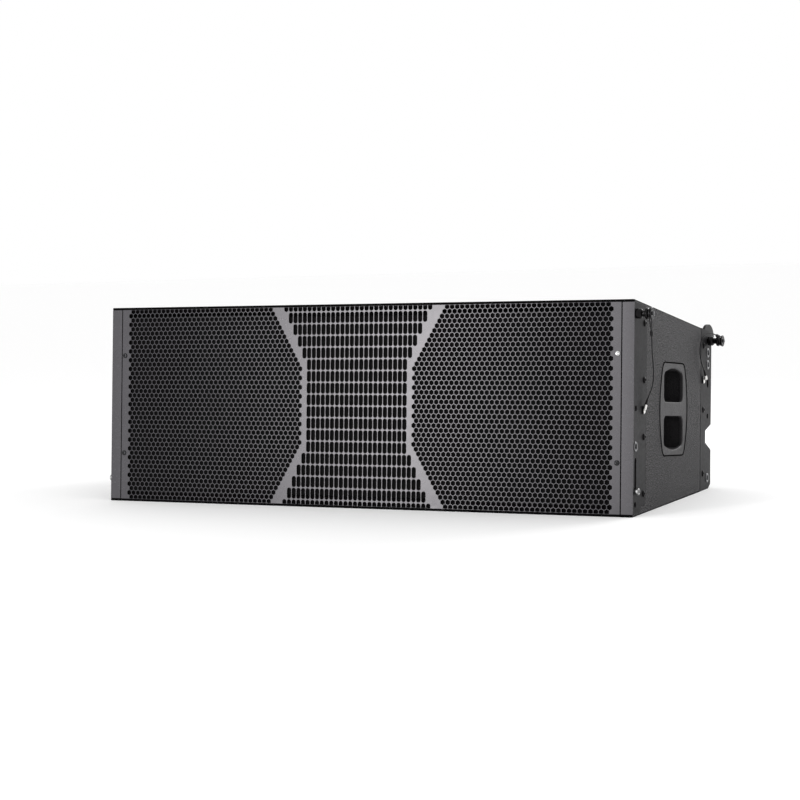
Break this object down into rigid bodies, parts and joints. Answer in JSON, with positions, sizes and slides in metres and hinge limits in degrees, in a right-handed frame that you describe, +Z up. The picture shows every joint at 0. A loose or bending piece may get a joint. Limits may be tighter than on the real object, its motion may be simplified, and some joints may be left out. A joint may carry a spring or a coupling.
{
  "type": "line array speaker",
  "caption": "Wedge-shaped three-way line array loudspeaker module with a perforated grille, side rigging rails, sliding links, quick-release pins on lanyards and recessed side handles.",
  "frame": {"origin": "centre of the bottom face, on which the module rests", "axes": "+X to the right seen from the front, +Y from the front to the back, +Z up; the front leans back 5 degrees because the box is wedge-shaped"},
  "size_m": [1.152, 0.5126, 0.3786],
  "materials": {
    "cabinet": "black textured polyurea paint",
    "grille_paint": "satin grey powder coat",
    "rail_paint": "black powder coat",
    "raw_ply": "bare birch plywood",
    "foam": "open-cell acoustic foam",
    "black_steel": "blackened steel",
    "bright_steel": "bright zinc",
    "link_steel": "black powder coat",
    "pin_body": "black anodised",
    "button": "machined",
    "wire_rope": "black coated wire rope",
    "crimp": "crimped",
    "handle_plastic": "textured",
    "basket": "black casting",
    "ferrite": "ferrite and plated steel",
    "paper": "coated paper pulp",
    "surround": "treated cloth",
    "horn": "moulded",
    "hf_case": "cast",
    "board": "circuit board",
    "plate": "black powder coat",
    "socket": "moulded"
  },
  "bodies": {
    "root": {"top_panel": "cabinet", "bottom_panel": "cabinet", "left_side_panel": "cabinet", "right_side_panel": "cabinet", "back_panel": "cabinet", "front_baffle": "raw_ply", "chamber_partitions": "raw_ply", "front_grille": "grille_paint", "grille_foam": "foam", "front_trims": "grille_paint", "left_front_rail": "rail_paint", "right_front_rail": "rail_paint", "left_rear_rail": "rail_paint", "right_rear_rail": "rail_paint", "left_rear_guide": "rail_paint", "right_rear_guide": "rail_paint", "rail_bushes": "bright_steel", "rail_bolts": "black_steel", "left_front_lanyard": "wire_rope", "right_front_lanyard": "wire_rope", "left_rear_lanyard": "wire_rope", "right_rear_lanyard": "wire_rope", "lanyard_anchors": "crimp", "left_handle": "handle_plastic", "right_handle": "handle_plastic", "left_woofer_basket": "basket", "right_woofer_basket": "basket", "left_woofer_magnet": "ferrite", "right_woofer_magnet": "ferrite", "left_woofer_suspension": "surround", "right_woofer_suspension": "surround", "mid_baffles": "raw_ply", "mid_driver_frames": "basket", "mid_driver_cones": "paper", "hf_waveguide": "horn", "hf_drivers": "hf_case", "crossover_board": "board", "connector_plate": "plate", "connector_sockets": "socket", "wood_screws": "black_steel"},
    "left_front_link": {"left_front_link": "link_steel", "left_link_knob": "bright_steel"},
    "left_rear_link": {"left_rear_link": "link_steel"},
    "left_front_pin": {"left_front_pin": "pin_body", "left_front_lanyard_eye": "wire_rope"},
    "left_front_pin_button": {"left_front_pin_button": "button"},
    "left_rear_pin": {"left_rear_pin": "pin_body", "left_rear_lanyard_eye": "wire_rope"},
    "left_rear_pin_button": {"left_rear_pin_button": "button"},
    "left_woofer_cone": {"left_woofer_cone": "paper"},
    "right_front_link": {"right_front_link": "link_steel", "right_link_knob": "bright_steel"},
    "right_rear_link": {"right_rear_link": "link_steel"},
    "right_front_pin": {"right_front_pin": "pin_body", "right_front_lanyard_eye": "wire_rope"},
    "right_front_pin_button": {"right_front_pin_button": "button"},
    "right_rear_pin": {"right_rear_pin": "pin_body", "right_rear_lanyard_eye": "wire_rope"},
    "right_rear_pin_button": {"right_rear_pin_button": "button"},
    "right_woofer_cone": {"right_woofer_cone": "paper"}
  },
  "joints": [
    {"name": "left_front_link_slide", "type": "slide", "parent": "root", "child": "left_front_link", "axis": [0, 0.0872, 0.9962], "range_m": [0, 0.047]},
    {"name": "left_rear_link_slide", "type": "slide", "parent": "root", "child": "left_rear_link", "axis": [0, 0.0872, 0.9962], "range_m": [0, 0.11]},
    {"name": "left_front_pin_slide", "type": "slide", "parent": "root", "child": "left_front_pin", "axis": [-1, 0, 0], "range_m": [0, 0.03]},
    {"name": "left_front_pin_button_press", "type": "slide", "parent": "left_front_pin", "child": "left_front_pin_button", "axis": [1, 0, 0], "range_m": [0, 0.0025], "stiffness_N_per_m": 600, "springref_m": -0.001},
    {"name": "left_rear_pin_slide", "type": "slide", "parent": "root", "child": "left_rear_pin", "axis": [-1, 0, 0], "range_m": [0, 0.03]},
    {"name": "left_rear_pin_button_press", "type": "slide", "parent": "left_rear_pin", "child": "left_rear_pin_button", "axis": [1, 0, 0], "range_m": [0, 0.0025], "stiffness_N_per_m": 600, "springref_m": -0.001},
    {"name": "left_woofer_cone_stroke", "type": "slide", "parent": "root", "child": "left_woofer_cone", "axis": [0, -0.9962, 0.0872], "range_m": [-0.006, 0.006], "stiffness_N_per_m": 3000},
    {"name": "right_front_link_slide", "type": "slide", "parent": "root", "child": "right_front_link", "axis": [0, 0.0872, 0.9962], "range_m": [0, 0.047]},
    {"name": "right_rear_link_slide", "type": "slide", "parent": "root", "child": "right_rear_link", "axis": [0, 0.0872, 0.9962], "range_m": [0, 0.11]},
    {"name": "right_front_pin_slide", "type": "slide", "parent": "root", "child": "right_front_pin", "axis": [1, 0, 0], "range_m": [0, 0.03]},
    {"name": "right_front_pin_button_press", "type": "slide", "parent": "right_front_pin", "child": "right_front_pin_button", "axis": [-1, 0, 0], "range_m": [0, 0.0025], "stiffness_N_per_m": 600, "springref_m": -0.001},
    {"name": "right_rear_pin_slide", "type": "slide", "parent": "root", "child": "right_rear_pin", "axis": [1, 0, 0], "range_m": [0, 0.03]},
    {"name": "right_rear_pin_button_press", "type": "slide", "parent": "right_rear_pin", "child": "right_rear_pin_button", "axis": [-1, 0, 0], "range_m": [0, 0.0025], "stiffness_N_per_m": 600, "springref_m": -0.001},
    {"name": "right_woofer_cone_stroke", "type": "slide", "parent": "root", "child": "right_woofer_cone", "axis": [0, -0.9962, 0.0872], "range_m": [-0.006, 0.006], "stiffness_N_per_m": 3000}
  ]
}
